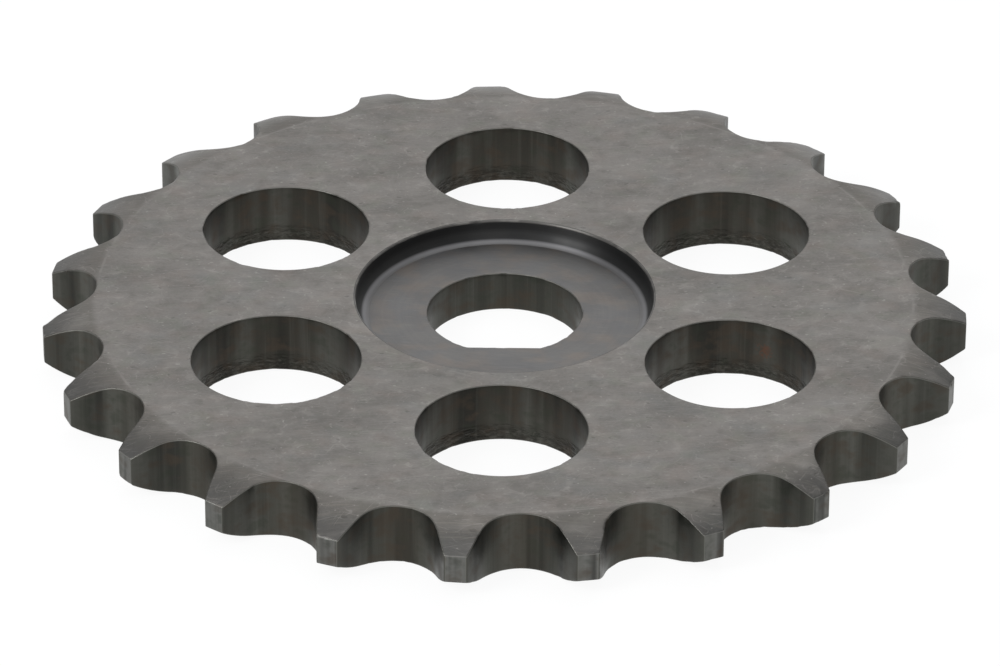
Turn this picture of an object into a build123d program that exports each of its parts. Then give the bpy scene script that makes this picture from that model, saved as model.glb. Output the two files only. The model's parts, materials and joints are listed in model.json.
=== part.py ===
from build123d import *
import os
from math import cos, degrees, hypot, isclose, radians, sin

# A flat sprocket for a 3/8 inch roller chain, blanked from steel plate and
# machined in one piece. It lies on its plain face. The origin is on the bore's
# axis at that face, +Z runs along the axis towards the recessed face, and the
# flat of the bore faces -Y. All sizes are in millimetres, angles in degrees.

# The chain that runs on the teeth
chain_pitch = 9.525
roller_diameter = 6.35

# The toothed rim
tooth_count = 23
seat_clearance = 0.075  # how much wider in radius a seat is than the roller
seat_angle = 126.1  # how far the seat wraps round the roller
flank_radius = 36.0  # the tooth's flanks bulge a little
tip_height = 0.82  # from the pitch circle out to the tips
gap_phase = 2.7  # from the bore's flat round to the nearest tooth gap

# The plate, and the relief on both sides of each tooth
plate_thickness = 4.85
relief_depth = 1.29  # how far each side of a tooth falls back at its tip
relief_width = 4.2  # how far inside the tips the sides start to fall back

# The lightening holes, between the hub and the rim
hole_count = 6
rim_width = 5.23  # from the holes out to the bottoms of the tooth gaps
hub_land = 1.95  # from the holes in to the recess

# The hub
bore_diameter = 12.0
flat_depth = 0.7  # how far the flat stands into the round of the bore
recess_diameter = 23.1
recess_depth = 1.6
recess_corner = 0.6  # radius where the recess's wall meets its floor
recess_lip = 0.25  # chamfer where the recess's wall meets the plate's face

# The edges of the holes and of the bore are taken off
edge_break = 0.05

# Sizes that follow from those above
pitch_radius = chain_pitch / (2 * sin(radians(180 / tooth_count)))
seat_radius = roller_diameter / 2 + seat_clearance
root_radius = pitch_radius - seat_radius
tip_radius = pitch_radius + tip_height
recess_radius = recess_diameter / 2
hole_inner = recess_radius + hub_land
hole_outer = root_radius - rim_width
hole_radius = (hole_outer - hole_inner) / 2
hole_circle_radius = (hole_outer + hole_inner) / 2
first_gap = gap_phase - 90


def make_blank():
    """The turned disc: two flat faces, both falling back along a curve towards the tips."""
    flat_radius = tip_radius - relief_width
    bend_radius = tip_radius - relief_width / 2
    relief_top = plate_thickness - relief_depth
    lower = Bezier((flat_radius, 0), (bend_radius, 0), (tip_radius, relief_depth))
    upper = Bezier(
        (tip_radius, relief_top),
        (bend_radius, plate_thickness),
        (flat_radius, plate_thickness),
    )
    rim = Line(lower @ 1, upper @ 0)
    faces_and_axis = Polyline(upper @ 1, (0, plate_thickness), (0, 0), lower @ 0)
    section = make_face(lower + rim + upper + faces_and_axis)
    return Rot(0, 0, first_gap) * revolve(Plane.XZ * section, Axis.Z)


def make_tooth_gap():
    """One gap: the roller's seat and a flank on each side, tangent to it, open outwards."""
    half = radians(seat_angle / 2)
    reach = seat_radius + flank_radius
    flank_x = pitch_radius - reach * cos(half)
    flank_y = reach * sin(half)
    flank_length = 1.5 * (tip_radius - root_radius)
    sweep = degrees(flank_length / flank_radius)
    seat = CenterArc((pitch_radius, 0), seat_radius, 180 - seat_angle / 2, seat_angle)
    left = CenterArc((flank_x, flank_y), flank_radius, -seat_angle / 2, sweep)
    right = CenterArc((flank_x, -flank_y), flank_radius, seat_angle / 2, -sweep)
    mouth = Line(left @ 1, right @ 1)
    return extrude(make_face(seat + left + right + mouth), plate_thickness)


def make_hole():
    """One lightening hole, with the edge taken off at both ends."""
    hole = extrude(Circle(hole_radius), plate_thickness)
    mouth = extrude(Circle(hole_radius + edge_break), edge_break, taper=45)
    return hole + mouth + Pos(0, 0, plate_thickness) * Rot(180, 0, 0) * mouth


def make_recess():
    """The turned recess round the bore, with a round corner at its floor and a chamfered lip."""
    floor = plate_thickness - recess_depth
    corner_radius = min(recess_corner, recess_depth - recess_lip)
    corner_centre = (recess_radius - corner_radius, floor + corner_radius)
    corner = CenterArc(corner_centre, corner_radius, -90, 90)
    lip = (recess_radius, plate_thickness - recess_lip)
    edge = (recess_radius + recess_lip, plate_thickness)
    wall = Polyline(corner @ 1, lip, edge)
    face_and_axis = Polyline(edge, (0, plate_thickness), (0, floor), corner @ 0)
    section = make_face(corner + wall + face_and_axis)
    return revolve(Plane.XZ * section, Axis.Z)


def make_bore():
    """The D-shaped bore that drives the sprocket."""
    round_bore = Circle(bore_diameter / 2)
    flat_distance = bore_diameter / 2 - flat_depth
    above_flat = Rectangle(bore_diameter, bore_diameter, align=(Align.CENTER, Align.MIN))
    profile = round_bore & Pos(0, -flat_distance) * above_flat
    return extrude(profile, plate_thickness)


def distance_out(edge):
    """How far the edge's nearer end lies from the bore's axis."""
    return min(hypot(corner.X, corner.Y) for corner in edge.vertices())


def break_bore_edges(bored):
    """Take the edge off both ends of the bore, along its round and its flat."""
    bore_reach = bore_diameter / 2 + edge_break
    inside = bored.edges().filter_by(lambda edge: distance_out(edge) < bore_reach)
    ends = inside.filter_by(lambda edge: isclose(edge.tangent_at(0).Z, 0, abs_tol=0.1))
    return chamfer(ends, edge_break)


def make_sprocket():
    gap = make_tooth_gap()
    gap_places = PolarLocations(0, tooth_count, start_angle=first_gap)
    hole = make_hole()
    hole_places = PolarLocations(hole_circle_radius, hole_count, start_angle=90)
    toothed = make_blank() - [place * gap for place in gap_places]
    drilled = toothed - [place * hole for place in hole_places]
    return break_bore_edges(drilled - make_recess() - make_bore())


os.makedirs("parts", exist_ok=True)
sprocket = make_sprocket()
sprocket.label = "sprocket"
export_step(sprocket, "parts/sprocket.step")
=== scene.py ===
import json
from math import atan2, cos, hypot, pi, radians, sin, sqrt

import bpy
from mathutils import Matrix, Vector
from mathutils.geometry import delaunay_2d_cdt


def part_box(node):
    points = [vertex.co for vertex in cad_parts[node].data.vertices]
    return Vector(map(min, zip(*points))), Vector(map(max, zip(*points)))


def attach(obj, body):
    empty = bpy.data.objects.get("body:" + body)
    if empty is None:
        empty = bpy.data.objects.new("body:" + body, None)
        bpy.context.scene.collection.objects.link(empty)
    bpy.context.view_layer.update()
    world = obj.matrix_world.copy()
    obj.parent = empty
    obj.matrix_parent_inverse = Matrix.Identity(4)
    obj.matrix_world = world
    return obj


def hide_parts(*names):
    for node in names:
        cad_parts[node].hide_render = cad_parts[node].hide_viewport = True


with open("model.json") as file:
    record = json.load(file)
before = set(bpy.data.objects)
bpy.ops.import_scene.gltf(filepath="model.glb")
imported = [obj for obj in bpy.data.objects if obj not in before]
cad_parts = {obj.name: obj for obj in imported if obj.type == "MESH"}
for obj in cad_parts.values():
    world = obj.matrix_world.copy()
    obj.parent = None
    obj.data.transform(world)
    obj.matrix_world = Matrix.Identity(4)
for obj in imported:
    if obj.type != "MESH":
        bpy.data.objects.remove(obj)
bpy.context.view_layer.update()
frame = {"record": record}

bl_info = {
    "name": "Chain Sprocket",
    "version": (1, 0, 0),
    "blender": (4, 5, 0),
    "location": "View3D > Sidebar > Sprocket",
    "description": "Makes a flat steel chain sprocket and a small studio round it",
    "category": "Add Mesh",
}

MM = 0.001
NODE = "sprocket"
plate_low, plate_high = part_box(NODE)
mounts = {mount["name"]: mount for mount in frame["record"]["mounts"]}


def mount_size(mount, size):
    """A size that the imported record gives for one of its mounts, in metres."""
    return mounts[mount]["dims"][size] * MM


def linear(colour):
    """An sRGB hex colour as linear RGBA."""
    channels = [int(colour[i : i + 2], 16) / 255 for i in (1, 3, 5)]
    return tuple(c / 12.92 if c <= 0.04045 else ((c + 0.055) / 1.055) ** 2.4 for c in channels) + (1.0,)


# ---- sizes that a user may change


def length_of(name, description, default):
    """A length that a user may change, in metres, shown in the scene's own unit."""
    return bpy.props.FloatProperty(
        name=name, description=description, default=default, unit="LENGTH", precision=5
    )


def colour_of(name, description, shown):
    """A colour that a user may change, with its default as an sRGB hex value."""
    return bpy.props.FloatVectorProperty(
        name=name,
        description=description,
        subtype="COLOR",
        default=linear(shown)[:3],
        min=0.0,
        max=1.0,
    )


class ToothSizes(bpy.types.PropertyGroup):
    """The chain, and the form of the teeth that it runs on."""

    count: bpy.props.IntProperty(name="Teeth", description="Number of teeth", default=23, min=9)
    chain_pitch: length_of("Chain pitch", "From one roller's centre to the next", 9.525 * MM)
    roller_diameter: length_of("Roller diameter", "Outer diameter of the chain's rollers", 6.35 * MM)
    seat_clearance: length_of(
        "Seat clearance", "How much larger in radius a seat is than the roller", 0.075 * MM
    )
    seat_angle: bpy.props.FloatProperty(
        name="Seat angle",
        description="How far a seat wraps round its roller",
        default=radians(126.1),
        subtype="ANGLE",
    )
    flank_radius: length_of("Flank radius", "Radius that a tooth's flanks bulge to", 36 * MM)
    tip_height: length_of("Tip height", "From the pitch circle out to the tips", 0.82 * MM)
    corner_radius: length_of("Tip corner", "Radius between a flank and the tip", 0.16 * MM)
    first_gap: bpy.props.FloatProperty(
        name="First gap",
        description="Where round the axis the first gap lies",
        default=radians(2.7 - 90),
        subtype="ANGLE",
    )
    relief_depth: length_of(
        "Relief depth", "How far each side of a tooth falls back at its tip", 1.29 * MM
    )
    relief_width: length_of(
        "Relief width", "How far inside the tips the sides start to fall back", 4.2 * MM
    )


class PlateSizes(bpy.types.PropertyGroup):
    """The plate, its lightening holes and its hub."""

    thickness: length_of("Thickness", "Thickness of the plate", plate_high.z - plate_low.z)
    hole_count: bpy.props.IntProperty(
        name="Holes", description="Number of lightening holes", default=6, min=3
    )
    hole_radius: length_of(
        "Hole radius", "Radius of a lightening hole", mount_size("hole_ring", "hole_r_mm")
    )
    hole_circle: length_of(
        "Hole circle",
        "Radius of the circle that the holes lie on",
        mount_size("hole_ring", "pcd_mm") / 2,
    )
    recess_radius: length_of(
        "Recess radius", "Radius of the turned recess", mount_size("hub_recess", "r_mm")
    )
    recess_floor: length_of(
        "Recess floor",
        "Height of the recess's floor over the plain face",
        mounts["recess_floor"]["pos_m"][2],
    )
    recess_corner: length_of(
        "Recess corner", "Radius between the recess's wall and its floor", 1.0 * MM
    )
    recess_lip: length_of(
        "Recess lip", "Radius between the recess's wall and the plate's face", 0.16 * MM
    )
    bore_radius: length_of(
        "Bore radius", "Radius of the round of the bore", mount_size("d_bore", "r_mm")
    )
    flat_depth: length_of("Flat depth", "How far the bore's flat stands into its round", 0.7 * MM)
    edge_radius: length_of("Edge radius", "Radius that tumbling leaves on every cut edge", 0.06 * MM)


class SteelColours(bpy.types.PropertyGroup):
    """The ground colour of each finish of the steel, before its marks and its brightened edges. The
    ground colours of the gaps, tips, holes, recess wall and bore are painted shade: they are darker
    than the faces to stand in for the dim reflections that these walls take from their shaded
    surroundings.
    """

    face: colour_of("Faces", "Tumbled steel of both flat sides", "#777471")
    # Painted shade: the gaps, tips, holes, recess wall and bore get darker ground colours than the
    # faces, for the dim reflections that these walls take from their shaded surroundings; the steel
    # itself is no darker there.
    gap: colour_of("Tooth gaps", "Blanked steel of the tooth gaps", "#484843")
    tip: colour_of("Tips", "Blanked steel of the tooth tips", "#6a6a67")
    hole: colour_of("Holes", "Punched steel of the lightening holes", "#3e3c37")
    wall: colour_of("Recess wall", "Turned steel of the recess's wall", "#494949")
    floor: colour_of("Recess floor", "Faced steel of the recess's floor", "#6a6968")
    bore: colour_of("Bore", "Broached steel of the bore", "#44443f")
    paper: colour_of("Floor", "Paper that the sprocket lies on", "#f8f8f8")


# ---- meshes of the sectors

FACE, GAP, TIP, HOLE, RECESS, FLOOR, BORE = range(7)  # the zones, one finish each
MERGE_REACH = 0.002 * MM  # points of neighbouring sectors lie nearer to each other than this
NICKS_FROM, NICKS_FULL = 0.56, 0.74  # the noise at which a nick starts, and is at its deepest
MARKS = ("edge", "tear", "flank")  # how exposed, how torn, and how far up a tooth a point is
TIP_WEAR = 2.2  # how much deeper the upper edges of the tips are knocked than other edges
TORN_SHARE = 0.42  # of a punched wall's height, up from the side where the slug broke away
TORN_START = 0.15 * MM  # over this height the tear begins, so that the lower edge stays whole
BORE_CORNER = 0.35 * MM  # radius where the bore's round meets its flat

# How many faces each stretch has.
EDGE_STEPS = 4
SEAT_STEPS = 12
FLANK_STEPS = 8
TIP_CORNER_STEPS = 4
TIP_STEPS = 4
HOLE_STEPS = 144
BORE_STEPS = 110
BORE_CORNER_STEPS = 6
BORE_FLAT_STEPS = 16
RECESS_CORNER_STEPS = 12
RECESS_LIP_STEPS = 6
SECTOR_SIDE_STEPS = 20
TOOTH_WALL_STEPS = 10
HOLE_WALL_STEPS = 22
BORE_WALL_STEPS = 12

# How far apart the free points of the flat sheets lie, and how far they keep from an outline.
BORDER_ROW = 0.14 * MM  # the first row of points beside a tooth gap
BORDER_MARGIN = 0.1 * MM
HOLE_BORDER_ROW = 0.16 * MM  # the same beside a hole or the bore
RIM_STEP = 0.45 * MM
RIM_ACROSS = 0.5 * MM
RIM_MARGIN = 0.3 * MM
JOIN_MARGIN = 0.25 * MM  # outside the circle where the tooth sectors meet the web
WEB_STEP = 1.0 * MM
WEB_MARGIN = 0.5 * MM
HUB_STEP = 0.7 * MM
HUB_MARGIN = 0.4 * MM


def place_object(name, data):
    """A new object in the scene."""
    made = bpy.data.objects.new(name, data)
    bpy.context.scene.collection.objects.link(made)
    return made


class Builder:
    """Collects points with their marks, and faces with their zones."""

    def __init__(self):
        self.points = []
        self.faces = []
        self.zones = []
        self.marks = {name: [] for name in MARKS}

    def add_point(self, x, y, z, **marks):
        """Adds a point and returns its number. A mark that isn't given is 0."""
        self.points.append((x, y, z))
        for name in MARKS:
            self.marks[name].append(marks.get(name, 0.0))
        return len(self.points) - 1

    def add_face(self, corners, zone):
        self.faces.append(corners)
        self.zones.append(zone)

    def add_strip(self, rows, closed, zone_of):
        """Faces between rows of point numbers. Each row lies above the last, seen from outside."""
        count = len(rows[0])
        for low, high in zip(rows, rows[1:]):
            for i in range(count if closed else count - 1):
                j = (i + 1) % count
                self.add_face((low[i], low[j], high[j], high[i]), zone_of(i))

    def make_object(self, name):
        """A mesh object of the faces, with its zones and marks as attributes."""
        mesh = bpy.data.meshes.new(name)
        mesh.from_pydata(self.points, [], self.faces)
        mesh.attributes.new("zone", "INT", "FACE").data.foreach_set("value", self.zones)
        for name, values in self.marks.items():
            mesh.attributes.new(name, "FLOAT", "POINT").data.foreach_set("value", values)
        return place_object(name, mesh)


def polar(radius, angle):
    """The place at a radius and an angle round the axis."""
    return radius * cos(angle), radius * sin(angle)


def arc(centre, radius, start, end, steps, side=1):
    """Points along an arc as (place, way out of the metal). Its side is -1 round an opening."""
    found = []
    for i in range(steps + 1):
        angle = start + (end - start) * i / steps
        way = Vector((cos(angle), sin(angle)))
        found.append((Vector(centre) + radius * way, side * way))
    return found


def meeting(centre_a, radius_a, centre_b, radius_b):
    """Where two circles meet, at the meeting point nearer to the X axis."""
    a, b = Vector(centre_a), Vector(centre_b)
    apart = (b - a).length
    along = (radius_a**2 - radius_b**2 + apart**2) / (2 * apart)
    across = sqrt(radius_a**2 - along**2)
    way = (b - a) / apart
    found = [a + along * way + s * across * Vector((-way.y, way.x)) for s in (-1, 1)]
    return min(found, key=lambda p: abs(p.y))


def pitch_circle(teeth):
    """The radius of the circle on which the rollers' centres lie."""
    return teeth.chain_pitch / (2 * sin(pi / teeth.count))


def upper_gap_outline(teeth):
    """Half a gap, from the bottom of its seat to the middle of the next tooth's tip."""
    pitch_radius = pitch_circle(teeth)
    seat_radius = teeth.roller_diameter / 2 + teeth.seat_clearance
    tip_radius = pitch_radius + teeth.tip_height
    half = teeth.seat_angle / 2
    reach = seat_radius + teeth.flank_radius
    flank_centre = Vector((pitch_radius - reach * cos(half), reach * sin(half)))
    corner = teeth.corner_radius
    corner_centre = meeting((0, 0), tip_radius - corner, flank_centre, teeth.flank_radius - corner)
    to_corner = corner_centre - flank_centre
    flank_end = atan2(to_corner.y, to_corner.x)
    tip_start = atan2(corner_centre.y, corner_centre.x)
    middle = pi / teeth.count
    seat = arc((pitch_radius, 0), seat_radius, pi, pi - half, SEAT_STEPS, side=-1)
    flank = arc(flank_centre, teeth.flank_radius, -half, flank_end, FLANK_STEPS)
    rounding = arc(corner_centre, corner, flank_end, tip_start, TIP_CORNER_STEPS)
    tip = arc((0, 0), tip_radius, tip_start, middle, TIP_STEPS)
    return seat + flank[1:] + rounding[1:] + tip[1:]


def edge_rows(edge, wall_steps):
    """Rows up a wall and round its edges, as (inset, share of the height, lift, how exposed)."""
    rows = []
    for i in range(EDGE_STEPS + 1):
        turn = pi / 2 * (1 - i / EDGE_STEPS)
        rows.append((edge * (1 - cos(turn)), 0, edge * (1 - sin(turn)), 1))
    for i in range(1, wall_steps):
        rows.append((0, i / wall_steps, edge * (1 - 2 * i / wall_steps), 0))
    for i in range(EDGE_STEPS + 1):
        turn = pi / 2 * i / EDGE_STEPS
        rows.append((edge * (1 - cos(turn)), 1, edge * (sin(turn) - 1), 1))
    return rows


def add_wall(builder, outline, rows, span, marks, zone_of, around=False):
    """A wall along an outline. A row's place up it comes from span, the wall's foot and height at
    a radius. Its marks come from marks. A wall that goes round an opening is closed, and its
    outline runs against the clock."""
    made = []
    for inset, share, lift, exposed in rows:
        row = []
        for i, (place, way) in enumerate(outline):
            p = place - inset * way
            foot, height = span(p.length)
            z = foot + share * height + lift
            row.append(builder.add_point(p.x, p.y, z, **marks(i, z, share, exposed)))
        made.append(row[::-1] if around else row)
    builder.add_strip(made, around, zone_of)


def inset(outline, depth):
    """The points of an outline, moved into the metal by depth."""
    return [tuple(place - depth * way) for place, way in outline]


def is_inside(x, y, loops):
    """Whether a point lies inside loops of points, where a loop within another is a hole."""
    inside = False
    for loop in loops:
        for (ax, ay), (bx, by) in zip(loop, loop[1:] + loop[:1]):
            if (ay > y) != (by > y) and x < ax + (y - ay) * (bx - ax) / (by - ay):
                inside = not inside
    return inside


def distance_to(x, y, loops):
    """How far a point lies from the nearest side of the loops."""
    nearest = 1e9
    for loop in loops:
        for (ax, ay), (bx, by) in zip(loop, loop[1:] + loop[:1]):
            dx, dy = bx - ax, by - ay
            length = dx * dx + dy * dy
            share = max(0, min(1, ((x - ax) * dx + (y - ay) * dy) / length)) if length else 0
            nearest = min(nearest, hypot(x - ax - share * dx, y - ay - share * dy))
    return nearest


def fill(builder, loops, free_points, height, upwards, zone):
    """A gently sloped sheet within the first loop and outside the others, lifted to its height."""
    places = []
    sides = []
    for loop in loops:
        first = len(places)
        places += loop
        sides += [(first + i, first + (i + 1) % len(loop)) for i in range(len(loop))]
    outer = list(range(len(loops[0])))
    flat = [Vector(p) / MM for p in places + free_points]
    only_within = 1
    made, _, triangles, *_ = delaunay_2d_cdt(flat, sides, [outer], only_within, 1e-5)
    in_metres = [p * MM for p in made]
    numbers = [builder.add_point(p.x, p.y, height(p.length)) for p in in_metres]
    for triangle in triangles:
        middle = sum((in_metres[i] for i in triangle), Vector((0, 0))) / 3
        if not is_inside(middle.x, middle.y, loops[1:]):
            a, b, c = (in_metres[i] for i in triangle)
            turns_left = (b - a).cross(c - a) > 0
            corners = [numbers[i] for i in triangle]
            if turns_left != upwards:
                corners.reverse()
            builder.add_face(corners, zone)


def grid_points(loops, low, high, step, margin):
    """Evenly spread points inside loops, in staggered rows, none nearer than margin to a side."""
    found = []
    row = 0
    y = low[1]
    while y < high[1]:
        x = low[0] + (row % 2) * step / 2
        while x < high[0]:
            if is_inside(x, y, loops) and distance_to(x, y, loops) > margin:
                found.append((x, y))
            x += step
        y += step * sqrt(3) / 2
        row += 1
    return found


def ring_steps(teeth, plate):
    """How many points a ring has that both a tooth sector and a hole sector divide evenly."""
    return 2 * teeth.count * plate.hole_count


def rim_join_radius(teeth, plate):
    """The circle on which the tooth sectors meet the hole sectors."""
    root = pitch_circle(teeth) - teeth.roller_diameter / 2 - teeth.seat_clearance
    return (root + plate.hole_circle + plate.hole_radius) / 2


def hub_join_radius(plate):
    """The circle on which the hole sectors meet the hub."""
    return (plate.hole_circle - plate.hole_radius + plate.recess_radius + plate.recess_lip) / 2


def first_sector_side(plate):
    """Where round the axis the sector of the first hole starts, with that hole on +Y."""
    return pi / 2 - pi / plate.hole_count


def joining_arc(teeth, plate):
    """The inner side of a tooth sector, at points that the hole sectors' outer arcs have too."""
    join = rim_join_radius(teeth, plate)
    half_sector = pi / teeth.count
    step = 2 * pi / ring_steps(teeth, plate)
    shift = (first_sector_side(plate) - teeth.first_gap - half_sector) % step
    if shift > step / 2:
        shift -= step
    points = []
    steps_per_tooth = ring_steps(teeth, plate) // teeth.count
    for i in range(steps_per_tooth + 1):
        angle = -half_sector + shift + i * step
        points.append(polar(join, angle))
    return points


def make_tooth_sector(teeth, plate):
    """One gap with half a tooth each side, centred on +X."""
    thickness = plate.thickness
    edge = plate.edge_radius
    relief_start = pitch_circle(teeth) + teeth.tip_height - teeth.relief_width
    half_sector = pi / teeth.count

    def fall(radius):
        """How far each side of a tooth has fallen back at a radius."""
        return teeth.relief_depth * max(0, (radius - relief_start) / teeth.relief_width) ** 2

    def span(radius):
        return fall(radius), thickness - 2 * fall(radius)

    upper = upper_gap_outline(teeth)
    lower = [(Vector((p.x, -p.y)), Vector((n.x, -n.y))) for p, n in upper[:0:-1]]
    outline = lower + upper
    last = len(outline) - 1

    def marks(i, z, share, exposed):
        at_tip = min(i, last - i) <= TIP_STEPS
        knocked = exposed * (TIP_WEAR if at_tip and share else 1)
        return {"edge": knocked, "flank": abs(2 * i / last - 1)}

    def zone_of(i):
        return TIP if i < TIP_STEPS or i >= last - TIP_STEPS else GAP

    builder = Builder()
    add_wall(builder, outline, edge_rows(edge, TOOTH_WALL_STEPS), span, marks, zone_of)
    rim = inset(outline, edge)
    radial = []
    radius = Vector(rim[0]).length - RIM_MARGIN
    while radius > rim_join_radius(teeth, plate) + JOIN_MARGIN:
        radial.append(radius)
        radius -= RIM_STEP
    low_side = [polar(r, -half_sector) for r in radial]
    high_side = [polar(r, half_sector) for r in radial]
    inner = joining_arc(teeth, plate)
    loop = rim + high_side + inner[::-1] + low_side[::-1]
    border = inset(outline[1:-1], edge + BORDER_ROW)
    free = [p for p in border if distance_to(*p, [loop]) > BORDER_MARGIN]
    for r in radial:
        count = max(2, round(2 * half_sector * r / RIM_ACROSS))
        for i in range(1, count):
            p = polar(r, -half_sector + 2 * half_sector * i / count)
            if is_inside(*p, [loop]) and distance_to(*p, [loop]) > RIM_MARGIN:
                free.append(p)
    fill(builder, [loop], free, lambda r: thickness - fall(r), True, FACE)
    fill(builder, [loop], free, fall, False, FACE)
    return builder.make_object("tooth_sector")


def make_hole_sector(teeth, plate):
    """One lightening hole in its share of the web, centred on +X."""
    thickness = plate.thickness
    edge = plate.edge_radius
    half_sector = pi / plate.hole_count
    steps = ring_steps(teeth, plate) // plate.hole_count
    outer_radius = rim_join_radius(teeth, plate)
    inner_radius = hub_join_radius(plate)
    centre = Vector((plate.hole_circle, 0))
    circle = arc(centre, plate.hole_radius, 0, 2 * pi, HOLE_STEPS, side=-1)[:-1]

    def marks(i, z, share, exposed):
        torn = max(0, 1 - z / (TORN_SHARE * thickness)) * min(1, z / TORN_START)
        return {"edge": exposed, "tear": torn}

    builder = Builder()
    rows = edge_rows(edge, HOLE_WALL_STEPS)
    add_wall(builder, circle, rows, lambda r: (0, thickness), marks, lambda i: HOLE, True)
    outer = [tuple(p) for p, _ in arc((0, 0), outer_radius, -half_sector, half_sector, steps)]
    inner = [tuple(p) for p, _ in arc((0, 0), inner_radius, half_sector, -half_sector, steps)]
    depth = outer_radius - inner_radius
    count = SECTOR_SIDE_STEPS
    sides = [inner_radius + depth * i / count for i in range(1, count)]
    high_side = [polar(r, half_sector) for r in reversed(sides)]
    low_side = [polar(r, -half_sector) for r in sides]
    mouth = inset(circle, edge)
    loops = [outer + high_side + inner + low_side, mouth]
    border = inset(circle, edge + HOLE_BORDER_ROW)
    # The corners of a box, along X and Y, that holds the sector.
    reach = outer_radius * sin(half_sector)
    low, high = (inner_radius * 0.8, -reach), (outer_radius, reach)
    free = border + grid_points(loops, low, high, WEB_STEP, WEB_MARGIN)
    fill(builder, loops, free, lambda r: thickness, True, FACE)
    fill(builder, loops, free, lambda r: 0, False, FACE)
    return builder.make_object("hole_sector")


def bore_outline(plate):
    """The D-shaped bore, with a small radius where its round meets its flat."""
    radius = plate.bore_radius
    flat = radius - plate.flat_depth
    corner = BORE_CORNER
    corner_y = -(flat - corner)
    corner_x = sqrt((radius - corner) ** 2 - corner_y**2)
    turn = atan2(corner_y, corner_x)
    left, right = (-corner_x, corner_y), (corner_x, corner_y)
    down = 1.5 * pi
    outline = arc((0, 0), radius, turn, pi - turn, BORE_STEPS, side=-1)
    outline += arc(left, corner, pi - turn, down, BORE_CORNER_STEPS, side=-1)[1:]
    for i in range(1, BORE_FLAT_STEPS):
        x = -corner_x + 2 * corner_x * i / BORE_FLAT_STEPS
        outline.append((Vector((x, -flat)), Vector((0, 1))))
    outline += arc(right, corner, -pi / 2, turn, BORE_CORNER_STEPS, side=-1)[:-1]
    return outline


def recess_section(plate):
    """The recess's wall from its floor to the plate's face, as (radius, height, how exposed)."""
    corner = plate.recess_corner
    lip = plate.recess_lip
    top = plate.thickness - lip
    straight = top - plate.recess_floor - corner
    section = []
    for i in range(RECESS_CORNER_STEPS + 1):
        turn = pi / 2 * i / RECESS_CORNER_STEPS
        out = plate.recess_radius - corner + corner * sin(turn)
        section.append((out, plate.recess_floor + corner * (1 - cos(turn)), 0))
    # Rows up the straight wall keep the lip's mark from spreading down it.
    for share in (0.3, 0.6, 0.9):
        section.append((plate.recess_radius, plate.recess_floor + corner + share * straight, 0))
    for i in range(RECESS_LIP_STEPS + 1):
        turn = pi / 2 * i / RECESS_LIP_STEPS
        out = plate.recess_radius + lip * (1 - cos(turn))
        section.append((out, top + lip * sin(turn), 1))
    return section


def make_hub(teeth, plate):
    """The middle of the plate: the turned recess and the D-shaped bore."""
    edge = plate.edge_radius
    steps = ring_steps(teeth, plate)
    join = hub_join_radius(plate)
    floor = plate.recess_floor
    start = first_sector_side(plate)
    angles = [start + 2 * pi * i / steps for i in range(steps)]

    def ring(r):
        return [polar(r, angle) for angle in angles]

    def sheet(radius, reach, height, upwards, zone):
        """A flat sheet between the bore and a ring, with free points spread over a square."""
        loops = [ring(radius), mouth]
        spread = grid_points(loops, (-reach, -reach), (reach, reach), HUB_STEP, HUB_MARGIN)
        fill(builder, loops, border + spread, lambda r: height, upwards, zone)

    builder = Builder()
    wall = [
        [builder.add_point(*place, z, edge=exposed) for place in ring(r)][::-1]
        for r, z, exposed in recess_section(plate)
    ]
    builder.add_strip(wall, True, lambda i: RECESS)
    bore = bore_outline(plate)
    rows = edge_rows(edge, BORE_WALL_STEPS)

    def marks(i, z, share, exposed):
        return {"edge": exposed}

    add_wall(builder, bore, rows, lambda r: (0, floor), marks, lambda i: BORE, True)
    mouth = inset(bore, edge)
    border = inset(bore, edge + HOLE_BORDER_ROW)
    sheet(plate.recess_radius - plate.recess_corner, plate.recess_radius, floor, True, FLOOR)
    sheet(join, join, 0, False, FACE)
    loops = [ring(join), ring(plate.recess_radius + plate.recess_lip)]
    middle = ring((join + plate.recess_radius + plate.recess_lip) / 2)
    fill(builder, loops, middle, lambda r: plate.thickness, True, FACE)
    return builder.make_object("hub")


# ---- nodes

MATH = "ShaderNodeMath"
VECTOR_MATH = "ShaderNodeVectorMath"
MAP_RANGE = "ShaderNodeMapRange"


def add_node(tree, kind, inputs=None, **settings):
    """Adds a node: settings are its own. Inputs, by name or number, are values, sockets, or nodes
    that give their first output."""
    made = tree.nodes.new(kind)
    for name, value in settings.items():
        setattr(made, name, value)
    for key, value in (inputs or {}).items():
        if isinstance(value, bpy.types.Node):
            value = value.outputs[0]
        if isinstance(value, bpy.types.NodeSocket):
            tree.links.new(value, made.inputs[key])
        else:
            made.inputs[key].default_value = value
    return made


def make_material(name):
    """A material whose node tree is still empty, and that tree."""
    material = bpy.data.materials.new(name)
    material.use_nodes = True
    material.node_tree.nodes.clear()
    return material, material.node_tree


def place_in_mm(tree):
    """Where a point lies on the piece, in millimetres."""
    coordinates = add_node(tree, "ShaderNodeTexCoord")
    return add_node(
        tree, VECTOR_MATH, {0: coordinates.outputs["Object"], "Scale": 1 / MM}, operation="SCALE"
    )


def from_axis(tree, place):
    """How far a point lies from the bore's axis, in millimetres."""
    flat = add_node(tree, VECTOR_MATH, {0: place, 1: (1, 1, 0)}, operation="MULTIPLY")
    radius = add_node(tree, VECTOR_MATH, {0: flat}, operation="LENGTH")
    return radius.outputs["Value"]


SEED_STEP = (7.3, 13.1, 3.7)  # how far apart the noise of two neighbouring seeds lies


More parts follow.
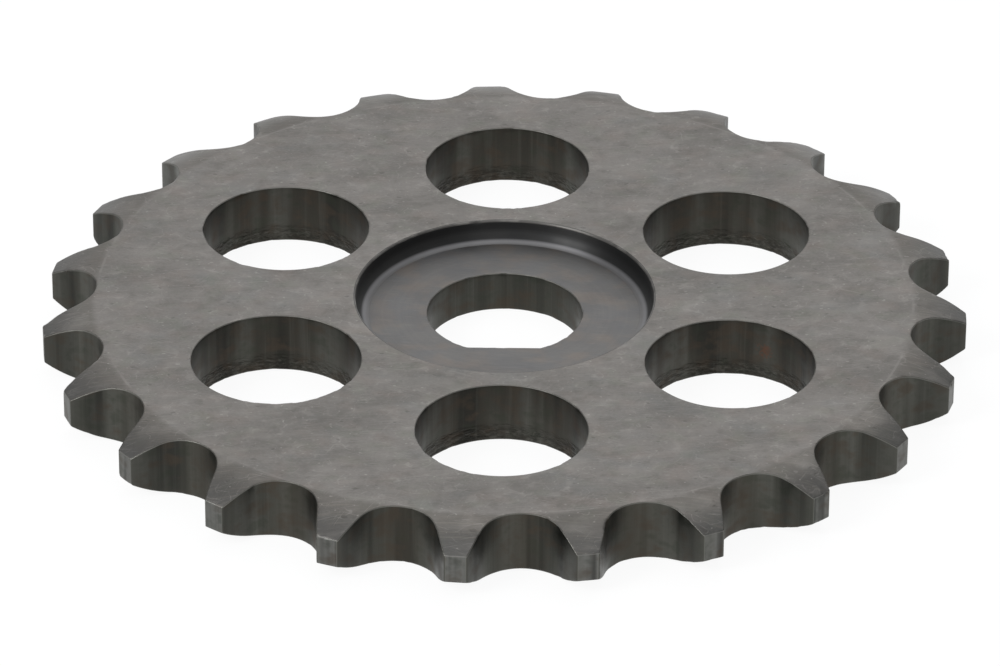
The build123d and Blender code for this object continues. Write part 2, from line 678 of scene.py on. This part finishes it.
def patches(tree, place, size, seed, turn=0.0, detail=2.0):
    """Uneven patches of about 0.3 to 0.7, with their size in mm along X, Y and Z, turned in
    degrees about Z."""
    laid = add_node(
        tree,
        "ShaderNodeMapping",
        {
            "Vector": place,
            "Location": [seed * step for step in SEED_STEP],
            "Rotation": (0, 0, radians(turn)),
            "Scale": size,
        },
        vector_type="TEXTURE",
    )
    return add_node(tree, "ShaderNodeTexNoise", {"Vector": laid, "Scale": 1.0, "Detail": detail})


def rings(tree, radius, width, seed):
    """The fine circles that a turning tool leaves, width mm apart."""
    spread = add_node(tree, "ShaderNodeCombineXYZ", {"X": radius, "Y": seed})
    return patches(tree, spread, (width, 1.0, 1.0), seed, detail=3.0)


def mark_of(tree, name):
    """One of the marks that the mesh's points carry."""
    return add_node(tree, "ShaderNodeAttribute", attribute_name=name).outputs["Fac"]


def lay_over(tree, colour, marks):
    """Lays marks over a colour: (pattern, where it starts, where it is full, strength, colour)."""
    for pattern, start, full, strength, shown in marks:
        amount = add_node(
            tree,
            MAP_RANGE,
            {"Value": pattern, "From Min": start, "From Max": full, "To Max": strength},
        )
        mixed = add_node(
            tree, "ShaderNodeMix", {0: amount, 6: colour, 7: linear(shown)}, data_type="RGBA"
        )
        colour = mixed.outputs[2]
    return colour


def raise_over(tree, marks):
    """A normal for marks that stand up: (pattern, where it starts, where it is full, mm high)."""
    height = 0.0
    for pattern, start, full, rise in marks:
        lifted = add_node(
            tree, MAP_RANGE, {"Value": pattern, "From Min": start, "From Max": full, "To Max": rise}
        )
        height = add_node(tree, MATH, {0: lifted, 1: height}, operation="ADD")
    return add_node(tree, "ShaderNodeBump", {"Height": height, "Distance": MM})


def start_steel(name):
    """A new steel with its node tree, and where a point lies in millimetres."""
    material, tree = make_material(name)
    return material, tree, place_in_mm(tree)


def close_steel(tree, ground_colour, colour_marks, height_marks, roughness, turned=False):
    """Ends a steel's tree. Its roughness is a pattern with the values at 0.3 and at 0.7. Turned
    steel spreads a highlight across the circles that the tool left."""
    colour = lay_over(tree, ground_colour, colour_marks)
    normal = raise_over(tree, height_marks)
    pattern, low, high = roughness
    rough = add_node(
        tree,
        MAP_RANGE,
        {"Value": pattern, "From Min": 0.3, "From Max": 0.7, "To Min": low, "To Max": high},
    )
    shader = add_node(
        tree,
        "ShaderNodeBsdfPrincipled",
        {"Base Color": colour, "Metallic": 1.0, "Roughness": rough, "Normal": normal},
    )
    if turned:
        circles = add_node(tree, "ShaderNodeTangent", direction_type="RADIAL", axis="Z")
        tree.links.new(circles.outputs[0], shader.inputs["Tangent"])
        shader.inputs["Anisotropic"].default_value = 0.8
        shader.inputs["Anisotropic Rotation"].default_value = 0.25
    add_node(tree, "ShaderNodeOutputMaterial", {"Surface": shader.outputs["BSDF"]})


def ground(colour):
    """A colour that a user may change, as RGBA."""
    return tuple(colour) + (1.0,)


def make_tumbled_steel(teeth, colours):
    """Cold-rolled steel sheet, tumbled after blanking: a dull, mottled grey with a faint rolling grain
    along X, fine scratches, bright specks, and lathe marks where the teeth fall back. Where the teeth
    fall back, their sides are also darkened, and darker and bluer towards the tips, as painted shade
    for the dimmer light that these tilted sides reflect."""
    material, tree, place = start_steel("tumbled_steel")
    radius = from_axis(tree, place)
    tip_radius = (pitch_circle(teeth) + teeth.tip_height) / MM
    relief_start = tip_radius - teeth.relief_width / MM
    clouds = patches(tree, place, (6.0, 4.0, 4.0), 1, detail=3.0)
    warm = patches(tree, place, (3.0, 2.2, 2.2), 2)
    cool = patches(tree, place, (4.0, 2.6, 2.6), 3)
    green = patches(tree, place, (2.4, 2.0, 2.0), 4)
    # Real rolling grain is about 0.02 mm wide, too fine to show, so it is drawn 0.1 mm wide.
    grain = patches(tree, place, (2.2, 0.11, 0.5), 5, turn=2.0, detail=3.0)
    # Tumbling leaves pits of about 0.05 mm, drawn here at 0.2 mm for the same reason.
    pits = patches(tree, place, (0.22, 0.2, 0.2), 6, detail=3.0)
    streak = patches(tree, place, (5.0, 0.16, 0.6), 7, turn=-3.0)
    # Fine scratches are drawn 0.09 mm wide, wider than real ones, so that they show.
    scratch_a = patches(tree, place, (3.2, 0.09, 1.0), 8, turn=9.0, detail=1.0)
    scratch_b = patches(tree, place, (2.6, 0.09, 1.0), 9, turn=-24.0, detail=1.0)
    scratch_c = patches(tree, place, (2.0, 0.09, 1.0), 10, turn=58.0, detail=1.0)
    specks = patches(tree, place, (0.3, 0.22, 0.3), 11, detail=0.0)
    knocks = patches(tree, place, (0.7, 0.5, 0.6), 12, detail=0.0)
    light = patches(tree, place, (3.4, 1.8, 2.0), 13, turn=6.0, detail=4.0)
    smudges = patches(tree, place, (1.2, 1.0, 0.9), 14, turn=18.0, detail=5.0)
    curls = patches(tree, place, (2.6, 1.9, 2.0), 15)
    centred = add_node(tree, MATH, {0: curls, 1: 0.5}, operation="SUBTRACT")
    along_curl = add_node(tree, MATH, {0: centred}, operation="ABSOLUTE")
    hidden = add_node(
        tree, MAP_RANGE, {"Value": smudges, "From Min": 0.52, "From Max": 0.44, "To Max": 0.05}
    )
    curl_scratch = add_node(tree, MATH, {0: along_curl, 1: hidden})
    # A broken line, 0.18 mm wide, where the teeth start to fall back.
    line = add_node(tree, MATH, {0: radius, 1: relief_start + 0.05, 2: 0.09}, operation="COMPARE")
    broken = add_node(tree, MATH, {0: line, 1: clouds}, operation="MULTIPLY")
    fallen = add_node(
        tree, MAP_RANGE, {"Value": radius, "From Min": relief_start, "From Max": relief_start + 0.5}
    )
    turned = add_node(tree, MATH, {0: fallen, 1: streak}, operation="MULTIPLY")
    close_steel(
        tree,
        ground(colours.face),
        [
            (clouds, 0.36, 0.64, 0.50, "#6a6865"),
            (warm, 0.50, 0.68, 0.26, "#7f746e"),
            (cool, 0.54, 0.70, 0.16, "#6c7476"),
            (green, 0.52, 0.68, 0.26, "#6f7469"),
            (grain, 0.50, 0.30, 0.09, "#5b5956"),
            (grain, 0.54, 0.70, 0.10, "#918e8b"),
            (pits, 0.48, 0.32, 0.16, "#5a5855"),
            (pits, 0.56, 0.70, 0.12, "#969390"),
            (smudges, 0.45, 0.32, 0.36, "#5f5d59"),
            (smudges, 0.57, 0.70, 0.28, "#93908c"),
            # Painted shade: the falling-back sides of the teeth are darkened, and darker and bluer
            # towards the tips, for the dimmer light that these tilted sides reflect.
            (fallen, 0.0, 1.0, 0.55, "#5a5753"),
            (radius, relief_start + 1.0, tip_radius - 0.6, 0.45, "#595b5c"),
            (turned, 0.54, 0.70, 0.18, "#8b867d"),
            (broken, 0.50, 0.60, 0.14, "#a3a09c"),
            (scratch_a, 0.68, 0.75, 0.20, "#a5a29e"),
            (scratch_b, 0.69, 0.76, 0.20, "#a3a09c"),
            (scratch_c, 0.70, 0.77, 0.20, "#a3a09c"),
            (curl_scratch, 0.012, 0.003, 0.18, "#a5a29e"),
            (light, 0.54, 0.70, 0.30, "#8c8985"),
            (specks, 0.80, 0.84, 0.28, "#b0ada9"),
            (knocks, 0.22, 0.17, 0.40, "#504e4b"),
        ],
        [
            (grain, 0.3, 0.7, 0.0015),
            (pits, 0.3, 0.7, 0.004),
            (knocks, 0.26, 0.2, -0.012),
            (smudges, 0.42, 0.30, -0.004),
            (scratch_a, 0.66, 0.72, -0.004),
            (scratch_b, 0.68, 0.74, -0.004),
            (turned, 0.3, 0.7, 0.002),
        ],
        (clouds, 0.42, 0.56),
    )
    return material


def make_cut_wall(
    name,
    ground_colour,
    worn_and_sheen,
    streak_width,
    extra_colour=(),
    extra_height=(),
    banded=0.6,
    wear_and_sheen=0.8,
    exposed=1.0,
):
    """A wall cut down through the sheet: streaks run up it, and its edges are painted brighter where
    the edge mark is at its most exposed, partly as rubbed steel and partly as a painted highlight along
    their rounds. The extra functions add layers of their own."""
    material, tree, place = start_steel(name)
    streaks = patches(tree, place, (streak_width, streak_width, 14.0), 21, detail=3.0)
    bands = patches(tree, place, (streak_width * 7, streak_width * 7, 30.0), 22)
    stains = patches(tree, place, (1.6, 1.6, 1.2), 23, detail=3.0)
    pits = patches(tree, place, (0.2, 0.2, 0.2), 24)
    edge = mark_of(tree, "edge")
    marks = {"tree": tree, "place": place, "pits": pits}
    close_steel(
        tree,
        ground_colour,
        [
            (bands, 0.50, 0.64, banded, "#585853"),
            (bands, 0.47, 0.36, banded, "#282826"),
            (stains, 0.51, 0.66, 0.50, "#4d443b"),
            (stains, 0.47, 0.34, 0.40, "#31362e"),
            (streaks, 0.48, 0.30, 0.13, "#262624"),
            (streaks, 0.56, 0.72, 0.13, "#686863"),
            *[entry for make in extra_colour for entry in make(marks)],
            # Brightened edges: partly rubbed steel, partly a painted highlight where the rounded edges
            # catch the light.
            (edge, 0.93 * exposed, exposed, wear_and_sheen, worn_and_sheen),
        ],
        [
            (streaks, 0.3, 0.7, 0.002),
            (pits, 0.3, 0.7, 0.002),
            *[entry for make in extra_height for entry in make(marks)],
        ],
        (stains, 0.38, 0.55),
    )
    return material


def gap_bands(marks):
    """Bands up a tooth gap: a brown seat, a darker line where the flank starts, and a lighter end
    towards the tip, which is painted light for the open side of the gap, where less shade falls than
    deep in the seat.
    """
    flank = mark_of(marks["tree"], "flank")
    return [
        (flank, 0.30, 0.0, 0.35, "#453f37"),
        (flank, 0.36, 0.44, 0.30, "#2c2c2a"),
        # Painted light: the flank lightens towards the tip, where the gap opens out and less shade
        # falls.
        (flank, 0.56, 0.80, 0.45, "#595954"),
        (flank, 0.80, 0.86, 0.55, "#868681"),
    ]


def torn_band(marks):
    """The torn lower third of a punched wall, where the slug broke away."""
    tree = marks["tree"]
    tear = mark_of(tree, "tear")
    lumps = patches(tree, marks["place"], (0.7, 0.7, 0.26), 25, detail=4.0)
    chips = patches(tree, marks["place"], (0.5, 0.5, 0.22), 26, detail=3.0)
    within = add_node(tree, MAP_RANGE, {"Value": tear, "From Min": 0.10, "From Max": 0.60})
    torn, chipped = (
        add_node(tree, MATH, {0: within, 1: pattern}, operation="MULTIPLY")
        for pattern in (lumps, chips)
    )
    marks["torn"] = torn
    return [
        (within, 0.0, 1.0, 0.15, "#2b2a26"),
        (chipped, 0.50, 0.60, 0.28, "#62615b"),
        (torn, 0.50, 0.58, 0.35, "#1c1c1a"),
    ]


def torn_lumps(marks):
    """The lumps of the torn band, which stand up."""
    return [(marks["torn"], 0.2, 0.6, 0.08)]


RUST_PLACE = (20.17, -4.16, 2.45)  # millimetres


def rust_spot(marks):
    """One small spot of rust that has started in a hole."""
    tree = marks["tree"]
    away = add_node(tree, VECTOR_MATH, {0: marks["place"], 1: RUST_PLACE}, operation="DISTANCE")
    ragged = add_node(
        tree, MATH, {0: marks["pits"], 1: 2.0, 2: away.outputs["Value"]}, operation="MULTIPLY_ADD"
    )
    return [(ragged, 1.7, 1.1, 0.42, "#6a3f28")]


def make_turned_wall(plate, colours):
    """Steel turned with a boring tool: fine circles round a wall darkened as painted shade, and darker
    still towards its foot; a painted highlight as a bright line low in the corner by the floor; and a
    lip brought back towards the face's tone, partly rubbed steel and partly a painted highlight."""
    material, tree, place = start_steel("turned_recess_steel")
    parts = add_node(tree, "ShaderNodeSeparateXYZ", {0: place})
    height = parts.outputs["Z"]
    floor = plate.recess_floor / MM
    # The tool's feed is about 0.05 mm a turn, drawn at 0.1 mm so that it shows.
    feed = patches(tree, place, (40.0, 40.0, 0.1), 31, detail=3.0)
    stains = patches(tree, place, (2.0, 2.0, 2.0), 32)
    edge = mark_of(tree, "edge")
    worn_and_sheen = add_node(tree, MATH, {0: edge, 1: stains}, operation="MULTIPLY")
    close_steel(
        tree,
        ground(colours.wall),
        [
            (stains, 0.40, 0.62, 0.35, "#3c3e40"),
            (feed, 0.50, 0.32, 0.15, "#2f2f2e"),
            (feed, 0.56, 0.70, 0.12, "#5c5c5b"),
            # Painted shade: darker towards the wall's foot.
            (height, floor + 2.6, floor + 0.7, 0.45, "#303030"),
            # Painted highlight: a bright line low in the corner, then about the floor's tone at its
            # very foot.
            (height, floor + 0.20, floor + 0.09, 0.95, "#848486"),
            (height, floor + 0.04, floor, 0.8, "#747373"),
            # The lip is brought back towards the face's tone and brighter in patches: partly rubbed
            # steel, partly a painted highlight.
            (edge, 0.93, 1.0, 0.6, "#797774"),
            (worn_and_sheen, 0.52, 0.64, 0.35, "#a3a19d"),
        ],
        [(feed, 0.3, 0.7, 0.003)],
        (stains, 0.44, 0.50),
        turned=True,
    )
    return material


def make_faced_floor(colours):
    """Steel faced on the lathe: a smooth floor with faint circles, and stains left by coolant."""
    material, tree, place = start_steel("faced_recess_steel")
    circles = rings(tree, from_axis(tree, place), 0.14, 41)
    stains = patches(tree, place, (3.6, 3.0, 3.0), 42, detail=3.0)
    warm = patches(tree, place, (2.6, 2.0, 2.0), 43, detail=3.0)
    cool = patches(tree, place, (3.4, 2.2, 2.2), 44)
    pits = patches(tree, place, (0.24, 0.2, 0.2), 45)
    grain = patches(tree, place, (1.8, 0.12, 0.5), 46, turn=-6.0)
    close_steel(
        tree,
        ground(colours.floor),
        [
            (stains, 0.40, 0.64, 0.45, "#616162"),
            (warm, 0.48, 0.66, 0.42, "#7a7068"),
            (cool, 0.50, 0.68, 0.26, "#63666b"),
            (circles, 0.50, 0.34, 0.08, "#575757"),
            (circles, 0.57, 0.70, 0.07, "#8c8b8a"),
            (grain, 0.58, 0.72, 0.18, "#8c8a87"),
            (pits, 0.46, 0.32, 0.12, "#595856"),
        ],
        [(circles, 0.3, 0.7, 0.0015), (pits, 0.3, 0.7, 0.002)],
        (stains, 0.34, 0.46),
    )
    return material


def make_finishes(teeth, plate, colours):
    """The finish of each zone, in the zones' order."""
    return [
        make_tumbled_steel(teeth, colours),
        # Blanked in a press: the die leaves streaks up the wall.
        make_cut_wall("blanked_gap_steel", ground(colours.gap), "#84837f", 0.24, [gap_bands], wear_and_sheen=0.5),
        make_cut_wall(
            "blanked_tip_steel", ground(colours.tip), "#83827f", 0.20, wear_and_sheen=0.5, exposed=TIP_WEAR
        ),
        # Punched: the upper wall is sheared smooth, and the lower third has torn away.
        make_cut_wall(
            "punched_hole_steel",
            ground(colours.hole),
            "#807f7b",
            0.35,
            [torn_band, rust_spot],
            [torn_lumps],
        ),
        make_turned_wall(plate, colours),
        make_faced_floor(colours),
        # Broached: the tool's teeth leave straight streaks along the bore.
        make_cut_wall("broached_bore_steel", ground(colours.bore), "#807f7b", 0.16, banded=0.25),
    ]


# ---- the plate's node tree


def ring_of(tree, sector, count, first):
    """Copies of a sector round the axis, each turned on by its share of a circle."""
    points = add_node(tree, "GeometryNodePoints", {"Count": count})
    index = add_node(tree, "GeometryNodeInputIndex")
    share = add_node(tree, MATH, {0: 2 * pi, 1: count}, operation="DIVIDE")
    turn = add_node(tree, MATH, {0: index, 1: share, 2: first}, operation="MULTIPLY_ADD")
    rotation = add_node(tree, "ShaderNodeCombineXYZ", {"Z": turn})
    copies = add_node(
        tree,
        "GeometryNodeInstanceOnPoints",
        {"Points": points, "Instance": sector, "Rotation": rotation},
    )
    return copies.outputs[0]


def noise_of(tree, size, seed, detail):
    """Noise over the piece's own space, with waves of about the given size."""
    position = add_node(tree, "GeometryNodeInputPosition")
    scale = add_node(tree, MATH, {0: 1.0, 1: size}, operation="DIVIDE")
    noise = add_node(
        tree,
        "ShaderNodeTexNoise",
        {"Vector": position, "Scale": scale, "Detail": detail},
        noise_dimensions="4D",
    )
    tree.links.new(seed, noise.inputs["W"])
    return noise


def sink(tree, geometry, mask, depth, amount):
    """Moves points into the metal, by depth where mask and amount are 1."""
    mask_value = add_node(tree, "GeometryNodeInputNamedAttribute", {"Name": mask})
    normal = add_node(tree, "GeometryNodeInputNormal")
    out = -1.0
    for factor in (mask_value, amount, depth):
        out = add_node(tree, MATH, {0: out, 1: factor}, operation="MULTIPLY")
    offset = add_node(tree, VECTOR_MATH, {0: normal, "Scale": out}, operation="SCALE")
    return add_node(tree, "GeometryNodeSetPosition", {"Geometry": geometry, "Offset": offset})


def plate_tree(finishes):
    """The tree that joins the sectors into one plate, wears its edges and gives it its finishes."""
    tree = bpy.data.node_groups.new("sprocket_plate", "GeometryNodeTree")
    tree.is_modifier = True
    sockets = (
        ("Geometry", ("Tooth sector",)),
        ("Object", ("Hole sector", "Hub")),
        ("Int", ("Teeth", "Holes")),
        ("Float", ("First gap", "First hole", "Nick depth", "Nick size")),
        ("Float", ("Tear depth", "Tear size", "Seed")),
    )
    for kind, names in sockets:
        for name in names:
            tree.interface.new_socket(name, in_out="INPUT", socket_type="NodeSocket" + kind)
    tree.interface.new_socket("Plate", in_out="OUTPUT", socket_type="NodeSocketGeometry")
    given = add_node(tree, "NodeGroupInput").outputs
    hole_sector = add_node(tree, "GeometryNodeObjectInfo", {"Object": given["Hole sector"]})
    hub = add_node(tree, "GeometryNodeObjectInfo", {"Object": given["Hub"]})
    rim = ring_of(tree, given["Tooth sector"], given["Teeth"], given["First gap"])
    web = ring_of(tree, hole_sector.outputs["Geometry"], given["Holes"], given["First hole"])
    joined = add_node(tree, "GeometryNodeJoinGeometry")
    for part in (rim, web, hub.outputs["Geometry"]):
        tree.links.new(part, joined.inputs[0])
    real = add_node(tree, "GeometryNodeRealizeInstances", {"Geometry": joined})
    closed = add_node(tree, "GeometryNodeMergeByDistance", {"Geometry": real, "Distance": MERGE_REACH})
    knocks = noise_of(tree, given["Nick size"], given["Seed"], 2.0)
    knocked = add_node(
        tree, MAP_RANGE, {"Value": knocks, "From Min": NICKS_FROM, "From Max": NICKS_FULL}
    )
    nicked = sink(tree, closed, "edge", given["Nick depth"], knocked)
    rough = noise_of(tree, given["Tear size"], given["Seed"], 4.0)
    torn = sink(tree, nicked, "tear", given["Tear depth"], rough)
    finished = add_node(tree, "GeometryNodeSetShadeSmooth", {"Geometry": torn})
    zone = add_node(tree, "GeometryNodeInputNamedAttribute", {"Name": "zone"}, data_type="INT")
    for number, material in enumerate(finishes):
        # Numbers 2 and 3 are the two whole numbers that this node compares.
        here = add_node(
            tree, "FunctionNodeCompare", {2: zone, 3: number}, data_type="INT", operation="EQUAL"
        )
        finished = add_node(
            tree,
            "GeometryNodeSetMaterial",
            {"Geometry": finished, "Selection": here, "Material": material},
        )
    add_node(tree, "NodeGroupOutput", {"Plate": finished})
    return tree


def set_inputs(modifier, values):
    """Sets a Geometry Nodes modifier's inputs by their sockets' identifiers."""
    for item in modifier.node_group.interface.items_tree:
        if item.item_type == "SOCKET" and item.in_out == "INPUT" and item.name in values:
            modifier[item.identifier] = values[item.name]


def settle(source, name):
    """The evaluated object as a plain mesh on a new object, with its modifiers gone."""
    graph = bpy.context.evaluated_depsgraph_get()
    mesh = bpy.data.meshes.new_from_object(source.evaluated_get(graph))
    mesh.name = name
    return place_object(name, mesh)


class SPROCKET_OT_plate(bpy.types.Operator):
    """Make the sprocket as one closed mesh, from its tooth sectors, hole sectors and hub"""

    bl_idname = "sprocket.plate"
    bl_label = "Sprocket plate"

    def execute(self, context):
        teeth = context.scene.sprocket_teeth
        plate = context.scene.sprocket_plate
        sector = make_tooth_sector(teeth, plate)
        hole_sector = make_hole_sector(teeth, plate)
        hub = make_hub(teeth, plate)
        modifier = sector.modifiers.new("plate", "NODES")
        finishes = make_finishes(teeth, plate, context.scene.sprocket_colours)
        modifier.node_group = plate_tree(finishes)
        set_inputs(
            modifier,
            {
                "Hole sector": hole_sector,
                "Hub": hub,
                "Teeth": teeth.count,
                "First gap": teeth.first_gap,
                "Holes": plate.hole_count,
                "First hole": pi / 2,
                "Nick depth": 0.10 * MM,
                "Nick size": 0.9 * MM,
                "Tear depth": 0.12 * MM,
                "Tear size": 0.5 * MM,
                "Seed": 3.0,
            },
        )
        weighted = sector.modifiers.new("normals", "WEIGHTED_NORMAL")
        weighted.keep_sharp = False
        piece = settle(sector, "sprocket_plate")
        for helper in (sector, hole_sector, hub):
            bpy.data.objects.remove(helper)
        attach(piece, "root")
        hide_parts(NODE)
        return {"FINISHED"}


# ---- the studio

LENS = 252.385  # millimetres
SENSOR_WIDTH = 36  # millimetres
SHIFT = (-0.0005, 0.0005)
AIM = (-0.3028 * MM, -5.8771 * MM)  # right and back from the axis, as the camera is turned
CAMERA_DISTANCE = 538.278 * MM
ELEVATION = 0.538  # radians
AZIMUTH = radians(0.5039)
ROLL = 0.0052  # radians

# Each lamp's name, place, width and height in metres, and power in watts.
LAMPS = (
    ("key", (0.08, 0.45, 0.9), 0.4, 0.5, 1.2),
    ("back", (0.0, 0.9, 0.13), 0.7, 0.25, 0.3),
    ("left", (-0.5, -0.33, 0.5), 0.3, 0.3, 3.0),
)

SIDE_SHADE = 0.45  # how bright the studio's side walls are in the steel, where its back is 1
SIDES_FROM, SIDES_FULL = 0.38, 0.62  # how far sideways a reflection leaves the back wall
TOP_FROM = 0.5  # how far up a reflection starts to leave the back wall too
TOP_SHARE = 0.35  # what straight up counts for as a way sideways

FLOOR_REACH = 1.5  # metres each way
FLOOR_DROP = 0.02 * MM  # so that the floor and the plain face don't lie in one plane
WHITE_SHARE = 0.92  # of the floor where it is seen, the rest shows its light and shadow


def point_camera(camera, target, distance, elevation, azimuth, roll):
    """Places a camera by what its axis goes through, and from how far off and how high up."""
    turn = (
        Matrix.Rotation(azimuth, 4, "Z")
        @ Matrix.Rotation(pi / 2 - elevation, 4, "X")
        @ Matrix.Rotation(roll, 4, "Z")
    )
    away = turn @ Vector((0, 0, distance))
    camera.matrix_world = Matrix.Translation(Vector(target) + away) @ turn


def make_camera():
    """A long lens that looks down on the sprocket from the front."""
    data = bpy.data.cameras.new("camera")
    camera = place_object("camera", data)
    data.lens = LENS
    data.sensor_width = SENSOR_WIDTH
    data.clip_start = 0.01
    data.clip_end = 20
    data.shift_x, data.shift_y = SHIFT
    centre = Matrix.Rotation(AZIMUTH, 4, "Z") @ Vector((*AIM, 0))
    target = centre + Vector((0, 0, plate_high.z))
    point_camera(camera, target, CAMERA_DISTANCE, ELEVATION, AZIMUTH, ROLL)
    bpy.context.scene.camera = camera


def seen_directly(tree):
    """1 for what the camera sees, straight or in metal or through glass, and else 0."""
    path = add_node(tree, "ShaderNodeLightPath")
    seen = path.outputs["Is Camera Ray"]
    for kind in ("Is Glossy Ray", "Is Transmission Ray"):
        seen = add_node(tree, MATH, {0: seen, 1: path.outputs[kind]}, operation="MAXIMUM")
    return seen


def make_world():
    """A white surround for what is seen, with dimmer side walls in the steel's reflections."""
    world = bpy.data.worlds.new("studio")
    world.use_nodes = True
    tree = world.node_tree
    tree.nodes.clear()
    soft = add_node(tree, "ShaderNodeBackground", {"Color": linear("#eef1f4"), "Strength": 1.0})
    way = add_node(tree, "ShaderNodeTexCoord")
    parts = add_node(tree, "ShaderNodeSeparateXYZ", {0: way.outputs["Generated"]})
    sideways = add_node(tree, MATH, {0: parts.outputs["X"]}, operation="ABSOLUTE")
    overhead = add_node(
        tree,
        MAP_RANGE,
        {"Value": parts.outputs["Z"], "From Min": TOP_FROM, "From Max": 1.0, "To Max": TOP_SHARE},
    )
    off_centre = add_node(tree, MATH, {0: sideways, 1: overhead})
    shaded = add_node(
        tree,
        MAP_RANGE,
        {
            "Value": off_centre,
            "From Min": SIDES_FROM,
            "From Max": SIDES_FULL,
            "To Min": 1.0,
            "To Max": SIDE_SHADE,
        },
    )
    path = add_node(tree, "ShaderNodeLightPath")
    strength = add_node(
        tree, MATH, {0: shaded, 1: path.outputs["Is Camera Ray"]}, operation="MAXIMUM"
    )
    white = add_node(tree, "ShaderNodeBackground", {"Color": (1, 1, 1, 1), "Strength": strength})
    mixed = add_node(tree, "ShaderNodeMixShader", {0: seen_directly(tree), 1: soft, 2: white})
    add_node(tree, "ShaderNodeOutputWorld", {"Surface": mixed})
    bpy.context.scene.world = world


def make_floor(colours):
    """Pale paper, white where it is seen, with a soft shadow under the sprocket."""
    mesh = bpy.data.meshes.new("floor")
    corners = [
        (x * FLOOR_REACH, y * FLOOR_REACH, -FLOOR_DROP)
        for x, y in ((-1, -1), (1, -1), (1, 1), (-1, 1))
    ]
    mesh.from_pydata(corners, [], [(0, 1, 2, 3)])
    floor = place_object("floor", mesh)
    material, tree = make_material("pale_paper")
    lit = add_node(tree, "ShaderNodeBsdfDiffuse", {"Color": ground(colours.paper)})
    white = add_node(tree, "ShaderNodeEmission", {"Color": (1, 1, 1, 1), "Strength": 1.0})
    share = add_node(tree, MATH, {0: seen_directly(tree), 1: WHITE_SHARE}, operation="MULTIPLY")
    mixed = add_node(tree, "ShaderNodeMixShader", {0: share, 1: lit, 2: white})
    add_node(tree, "ShaderNodeOutputMaterial", {"Surface": mixed})
    mesh.materials.append(material)


def make_lamp(name, place, width, height, power):
    """A softbox that faces the sprocket."""
    data = bpy.data.lights.new(name, "AREA")
    data.shape = "RECTANGLE"
    data.size = width
    data.size_y = height
    data.energy = power
    lamp = place_object(name, data)
    lamp.location = place
    lamp.rotation_euler = (-Vector(place)).to_track_quat("-Z", "Y").to_euler()


class SPROCKET_OT_studio(bpy.types.Operator):
    """Make the pale floor, the soft lights, the white surround and the camera"""

    bl_idname = "sprocket.studio"
    bl_label = "Studio"

    def execute(self, context):
        context.scene.view_settings.view_transform = "Standard"
        make_camera()
        make_world()
        make_floor(context.scene.sprocket_colours)
        for lamp in LAMPS:
            make_lamp(*lamp)
        return {"FINISHED"}


class SPROCKET_PT_panel(bpy.types.Panel):
    """The sizes and colours, and a button for each stage"""

    bl_label = "Sprocket"
    bl_idname = "SPROCKET_PT_panel"
    bl_space_type = "VIEW_3D"
    bl_region_type = "UI"
    bl_category = "Sprocket"

    def draw(self, context):
        layout = self.layout
        scene = context.scene
        for group in (scene.sprocket_teeth, scene.sprocket_plate, scene.sprocket_colours):
            column = layout.column(align=True)
            for name in group.__annotations__:
                column.prop(group, name)
        layout.operator(SPROCKET_OT_plate.bl_idname)
        layout.operator(SPROCKET_OT_studio.bl_idname)


CLASSES = (
    ToothSizes,
    PlateSizes,
    SteelColours,
    SPROCKET_OT_plate,
    SPROCKET_OT_studio,
    SPROCKET_PT_panel,
)


def register():
    for cls in CLASSES:
        bpy.utils.register_class(cls)
    bpy.types.Scene.sprocket_teeth = bpy.props.PointerProperty(type=ToothSizes)
    bpy.types.Scene.sprocket_plate = bpy.props.PointerProperty(type=PlateSizes)
    bpy.types.Scene.sprocket_colours = bpy.props.PointerProperty(type=SteelColours)


def unregister():
    del bpy.types.Scene.sprocket_colours
    del bpy.types.Scene.sprocket_plate
    del bpy.types.Scene.sprocket_teeth
    for cls in reversed(CLASSES):
        bpy.utils.unregister_class(cls)


def main():
    register()
    bpy.ops.sprocket.studio()
    bpy.ops.sprocket.plate()


if __name__ == "__main__":
    main()
